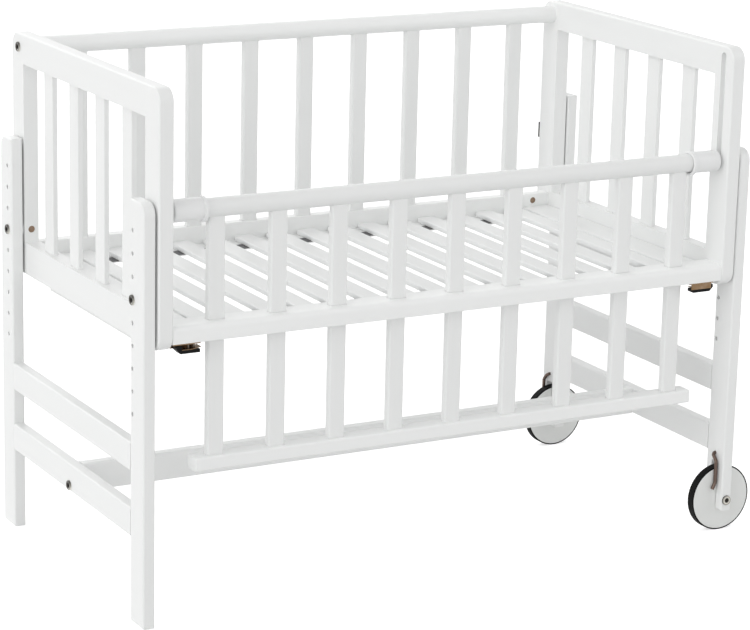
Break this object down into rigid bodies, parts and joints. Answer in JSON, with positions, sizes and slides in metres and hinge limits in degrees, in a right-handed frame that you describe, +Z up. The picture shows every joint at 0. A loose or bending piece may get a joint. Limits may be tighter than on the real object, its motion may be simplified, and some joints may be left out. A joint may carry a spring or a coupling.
{
  "type": "bedside crib",
  "caption": "Bedside crib with slatted ends and back, a lowering slatted front side, a slatted base, legs with height holes, and braked wheels at one end.",
  "frame": {"origin": "on the floor, under the middle of the crib's bounding box", "axes": "+X along the long side towards the wheels, +Y from the lowering side to the back, +Z up"},
  "size_m": [1.027, 0.529, 0.751],
  "materials": {
    "white_wood": "white satin lacquer",
    "beech": "raw",
    "white_plastic": "satin",
    "grey_plastic": "satin",
    "black_plastic": "satin",
    "black_rubber": "matte",
    "black_steel": "blackened",
    "zinc_steel": "zinc plated",
    "black_webbing": "woven",
    "nut_brass": "dull",
    "spring_brass": "rolled",
    "wire_bronze": "plated wire"
  },
  "bodies": {
    "crib_frame": {"left_leg_front": "white_wood", "left_leg_back": "white_wood", "left_upper_cross_rail": "white_wood", "left_lower_cross_rail": "white_wood", "left_front_stile": "white_wood", "left_back_stile": "white_wood", "left_top_rail": "white_wood", "left_lower_board": "white_wood", "left_end_slats": "white_wood", "right_leg_front": "white_wood", "right_leg_back": "white_wood", "right_upper_cross_rail": "white_wood", "right_lower_cross_rail": "white_wood", "right_front_stile": "white_wood", "right_back_stile": "white_wood", "right_top_rail": "white_wood", "right_lower_board": "white_wood", "right_end_slats": "white_wood", "stretcher": "white_wood", "back_top_rail": "white_wood", "back_lower_rail": "white_wood", "back_slats": "white_wood", "front_fixed_rail": "white_wood", "base_front_batten": "white_wood", "base_back_batten": "white_wood", "base_slats": "white_wood", "base_end_cleats": "white_wood", "base_straps": "black_webbing", "leg_spacers": "white_plastic", "batten_screws": "zinc_steel", "latch_screws": "zinc_steel", "axle_nuts": "zinc_steel", "leg_bolts": "black_steel", "top_rail_bolts": "black_steel", "lower_rail_bolts": "black_steel", "stretcher_bolts": "black_steel", "axle_bolts": "black_steel", "barrel_nuts": "nut_brass", "frame_dowels": "beech", "wall_buffers": "black_plastic", "latch_plates": "spring_brass"},
    "drop_side": {"drop_top_rail": "white_wood", "drop_bottom_rail": "white_wood", "drop_slats": "white_wood", "drop_sleeve_left": "white_plastic", "drop_sleeve_right": "white_plastic", "drop_guide_pins": "white_plastic"},
    "front_wheel": {"front_wheel_disc": "grey_plastic", "front_wheel_tyre": "black_rubber", "front_wheel_bush": "white_plastic"},
    "back_wheel": {"back_wheel_disc": "grey_plastic", "back_wheel_tyre": "black_rubber", "back_wheel_bush": "white_plastic"},
    "front_brake": {"front_brake_wire": "wire_bronze"},
    "back_brake": {"back_brake_wire": "wire_bronze"},
    "left_latch": {"left_catch": "black_plastic", "left_catch_spring": "spring_brass"},
    "right_latch": {"right_catch": "black_plastic", "right_catch_spring": "spring_brass"}
  },
  "joints": [
    {"name": "drop_side_slide", "type": "slide", "parent": "crib_frame", "child": "drop_side", "axis": [0, 0, 1], "range_m": [0, 0.15]},
    {"name": "front_wheel_spin", "type": "hinge", "parent": "crib_frame", "child": "front_wheel", "pos_m": [0.462, -0.24, 0.0515], "axis": [0, 1, 0], "continuous": true},
    {"name": "back_wheel_spin", "type": "hinge", "parent": "crib_frame", "child": "back_wheel", "pos_m": [0.462, 0.236, 0.0515], "axis": [0, 1, 0], "continuous": true},
    {"name": "front_brake_swing", "type": "hinge", "parent": "crib_frame", "child": "front_brake", "pos_m": [0.453, -0.24, 0.123], "axis": [1, 0, 0], "range_deg": [-75, 0]},
    {"name": "back_brake_swing", "type": "hinge", "parent": "crib_frame", "child": "back_brake", "pos_m": [0.453, 0.236, 0.123], "axis": [1, 0, 0], "range_deg": [0, 75]},
    {"name": "left_catch_slide", "type": "slide", "parent": "crib_frame", "child": "left_latch", "axis": [1, 0, 0], "range_m": [0, 0.0095], "stiffness_N_per_m": 500},
    {"name": "right_catch_slide", "type": "slide", "parent": "crib_frame", "child": "right_latch", "axis": [-1, 0, 0], "range_m": [0, 0.0095], "stiffness_N_per_m": 500}
  ]
}
